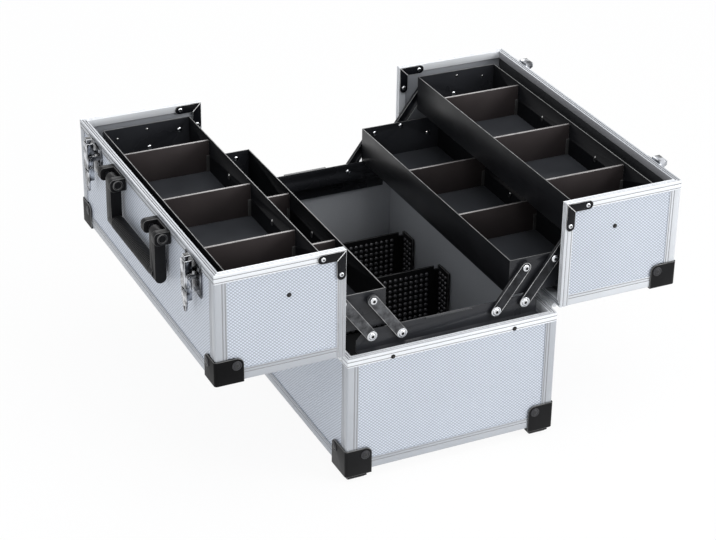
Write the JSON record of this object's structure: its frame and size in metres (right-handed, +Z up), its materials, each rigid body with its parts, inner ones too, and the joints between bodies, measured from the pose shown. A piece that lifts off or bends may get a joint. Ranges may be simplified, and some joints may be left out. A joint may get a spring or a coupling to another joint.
{
  "type": "cantilever tool case",
  "caption": "Aluminium-framed tool case, open: deep base, fold-out half lids on long hinges, steel trays riding on parallel arms, folding handle and draw latches.",
  "frame": {"origin": "centre of the open case's outline on the surface that it stands on", "axes": "+X across the case, from the lid with the handle to the lid with the catches; +Y along the case towards its rear end; +Z up"},
  "size_m": [0.6296, 0.4558, 0.3144],
  "materials": {
    "embossed_panel": "light silver sheet with a fine raised diamond pattern",
    "profile": "satin anodised extrusion with fine grooves",
    "black_plastic": "black moulded plastic with a fine grain",
    "black_steel": "black satin enamel on folded sheet, worn bright on its edges",
    "divider_plate": "brown-black enamel on thin sheet with a bare top edge",
    "studded_plastic": "black moulded plastic with rows of small studs",
    "lining": "dark grey fibre-like lining sheet",
    "chrome": "polished nickel",
    "dark_steel": "dark satin steel",
    "dark_rivet": "dark rivet heads",
    "hinge_steel": "plain satin steel"
  },
  "bodies": {
    "base": {"base_end_panels": "embossed_panel", "base_side_panels": "embossed_panel", "base_floor": "embossed_panel", "base_rim": "profile", "base_corner_profiles": "profile", "base_bottom_profiles": "profile", "base_corner_caps": "black_plastic", "base_rivets": "dark_rivet", "base_lining": "lining", "arm_plates": "black_steel", "studded_dividers": "studded_plastic", "base_pivots": "chrome", "base_hinge_leaves": "hinge_steel", "hinge_pins": "hinge_steel"},
    "left_lid": {"left_lid_panels": "embossed_panel", "left_lid_rim": "profile", "left_lid_profiles": "profile", "left_lid_caps": "black_plastic", "left_lid_brackets": "dark_steel", "left_lid_rivets": "chrome", "left_lid_lining": "lining", "left_lid_hinge_leaf": "hinge_steel", "handle_mounts": "black_plastic", "handle_pins": "hinge_steel", "latch_plates": "chrome"},
    "left_inner_arms": {"left_inner_arms": "black_steel"},
    "left_long_arms": {"left_long_arms": "black_steel"},
    "left_lower_tray": {"left_lower_tray": "black_steel", "left_lower_dividers": "divider_plate", "left_lower_pivots": "chrome"},
    "left_upper_tray": {"left_upper_tray": "black_steel", "left_upper_dividers": "divider_plate", "left_upper_pivots": "chrome"},
    "left_outer_arms": {"left_outer_arms": "black_steel"},
    "left_lid_links": {"left_lid_links": "black_steel"},
    "right_lid": {"right_lid_panels": "embossed_panel", "right_lid_rim": "profile", "right_lid_profiles": "profile", "right_lid_caps": "black_plastic", "right_lid_brackets": "dark_steel", "right_lid_rivets": "chrome", "right_lid_lining": "lining", "right_lid_hinge_leaf": "hinge_steel", "latch_catches": "chrome"},
    "right_inner_arms": {"right_inner_arms": "black_steel"},
    "right_long_arms": {"right_long_arms": "black_steel"},
    "right_lower_tray": {"right_lower_tray": "black_steel", "right_lower_dividers": "divider_plate", "right_lower_pivots": "chrome"},
    "right_upper_tray": {"right_upper_tray": "black_steel", "right_upper_dividers": "divider_plate", "right_upper_pivots": "chrome"},
    "right_outer_arms": {"right_outer_arms": "black_steel"},
    "right_lid_links": {"right_lid_links": "black_steel"},
    "handle": {"handle": "black_plastic"},
    "front_latch_lever": {"front_latch_lever": "chrome"},
    "front_latch_hook": {"front_latch_hook": "chrome"},
    "rear_latch_lever": {"rear_latch_lever": "chrome"},
    "rear_latch_hook": {"rear_latch_hook": "chrome"}
  },
  "joints": [
    {"name": "left_lid_hinge", "type": "hinge", "parent": "base", "child": "left_lid", "pos_m": [-0.1379, 0, 0.1695], "axis": [0, 1, 0], "range_deg": [0, 90]},
    {"name": "left_inner_arm_pivot", "type": "hinge", "parent": "base", "child": "left_inner_arms", "pos_m": [-0.0574, 0, 0.179], "axis": [0, 1, 0], "range_deg": [0, 76.1]},
    {"name": "left_long_arm_pivot", "type": "hinge", "parent": "base", "child": "left_long_arms", "pos_m": [-0.0959, 0, 0.1835], "axis": [0, 1, 0], "range_deg": [0, 76.1]},
    {"name": "left_lower_tray_pivot", "type": "hinge", "parent": "left_long_arms", "child": "left_lower_tray", "pos_m": [-0.1334, 0, 0.234], "axis": [0, 1, 0], "range_deg": [-76.1, 0]},
    {"name": "left_upper_tray_pivot", "type": "hinge", "parent": "left_long_arms", "child": "left_upper_tray", "pos_m": [-0.17091, 0, 0.28449], "axis": [0, 1, 0], "range_deg": [-76.1, 0]},
    {"name": "left_outer_arm_pivot", "type": "hinge", "parent": "left_lower_tray", "child": "left_outer_arms", "pos_m": [-0.1744, 0, 0.2168], "axis": [0, 1, 0], "range_deg": [0, 76.1]},
    {"name": "left_lid_link_pivot", "type": "hinge", "parent": "left_lower_tray", "child": "left_lid_links", "pos_m": [-0.1744, 0, 0.2168], "axis": [0, 1, 0], "range_deg": [0, 100]},
    {"name": "right_lid_hinge", "type": "hinge", "parent": "base", "child": "right_lid", "pos_m": [0.1471, 0, 0.1695], "axis": [0, -1, 0], "range_deg": [0, 90]},
    {"name": "right_inner_arm_pivot", "type": "hinge", "parent": "base", "child": "right_inner_arms", "pos_m": [0.0666, 0, 0.179], "axis": [0, -1, 0], "range_deg": [0, 76.1]},
    {"name": "right_long_arm_pivot", "type": "hinge", "parent": "base", "child": "right_long_arms", "pos_m": [0.1051, 0, 0.1835], "axis": [0, -1, 0], "range_deg": [0, 76.1]},
    {"name": "right_lower_tray_pivot", "type": "hinge", "parent": "right_long_arms", "child": "right_lower_tray", "pos_m": [0.1426, 0, 0.234], "axis": [0, -1, 0], "range_deg": [-76.1, 0]},
    {"name": "right_upper_tray_pivot", "type": "hinge", "parent": "right_long_arms", "child": "right_upper_tray", "pos_m": [0.1801, 0, 0.28449], "axis": [0, -1, 0], "range_deg": [-76.1, 0]},
    {"name": "right_outer_arm_pivot", "type": "hinge", "parent": "right_lower_tray", "child": "right_outer_arms", "pos_m": [0.1836, 0, 0.2168], "axis": [0, -1, 0], "range_deg": [0, 76.1]},
    {"name": "right_lid_link_pivot", "type": "hinge", "parent": "right_lower_tray", "child": "right_lid_links", "pos_m": [0.1836, 0, 0.2168], "axis": [0, -1, 0], "range_deg": [0, 100]},
    {"name": "handle_fold", "type": "hinge", "parent": "left_lid", "child": "handle", "pos_m": [-0.3048, 0, 0.2971], "axis": [0, 1, 0], "range_deg": [0, 90]},
    {"name": "front_latch_lever_pivot", "type": "hinge", "parent": "left_lid", "child": "front_latch_lever", "pos_m": [-0.3038, -0.166, 0.2876], "axis": [0, 1, 0], "range_deg": [0, 110]},
    {"name": "front_latch_hook_pivot", "type": "hinge", "parent": "front_latch_lever", "child": "front_latch_hook", "pos_m": [-0.3038, -0.166, 0.2756], "axis": [0, 1, 0], "range_deg": [-110, 0]},
    {"name": "rear_latch_lever_pivot", "type": "hinge", "parent": "left_lid", "child": "rear_latch_lever", "pos_m": [-0.3038, 0.166, 0.2876], "axis": [0, 1, 0], "range_deg": [0, 110]},
    {"name": "rear_latch_hook_pivot", "type": "hinge", "parent": "rear_latch_lever", "child": "rear_latch_hook", "pos_m": [-0.3038, 0.166, 0.2756], "axis": [0, 1, 0], "range_deg": [-110, 0]}
  ],
  "couplings": [
    {"joint": "left_inner_arm_pivot", "follows": "left_lid_hinge", "ratio": 0.84444},
    {"joint": "left_long_arm_pivot", "follows": "left_lid_hinge", "ratio": 0.84444},
    {"joint": "left_lower_tray_pivot", "follows": "left_lid_hinge", "ratio": -0.84444},
    {"joint": "left_upper_tray_pivot", "follows": "left_lid_hinge", "ratio": -0.84444},
    {"joint": "left_outer_arm_pivot", "follows": "left_lid_hinge", "ratio": 0.84444},
    {"joint": "left_lid_link_pivot", "follows": "left_lid_hinge", "ratio": 1.11},
    {"joint": "right_inner_arm_pivot", "follows": "right_lid_hinge", "ratio": 0.84444},
    {"joint": "right_long_arm_pivot", "follows": "right_lid_hinge", "ratio": 0.84444},
    {"joint": "right_lower_tray_pivot", "follows": "right_lid_hinge", "ratio": -0.84444},
    {"joint": "right_upper_tray_pivot", "follows": "right_lid_hinge", "ratio": -0.84444},
    {"joint": "right_outer_arm_pivot", "follows": "right_lid_hinge", "ratio": 0.84444},
    {"joint": "right_lid_link_pivot", "follows": "right_lid_hinge", "ratio": 1.11},
    {"joint": "front_latch_hook_pivot", "follows": "front_latch_lever_pivot", "ratio": -1},
    {"joint": "rear_latch_hook_pivot", "follows": "rear_latch_lever_pivot", "ratio": -1}
  ]
}
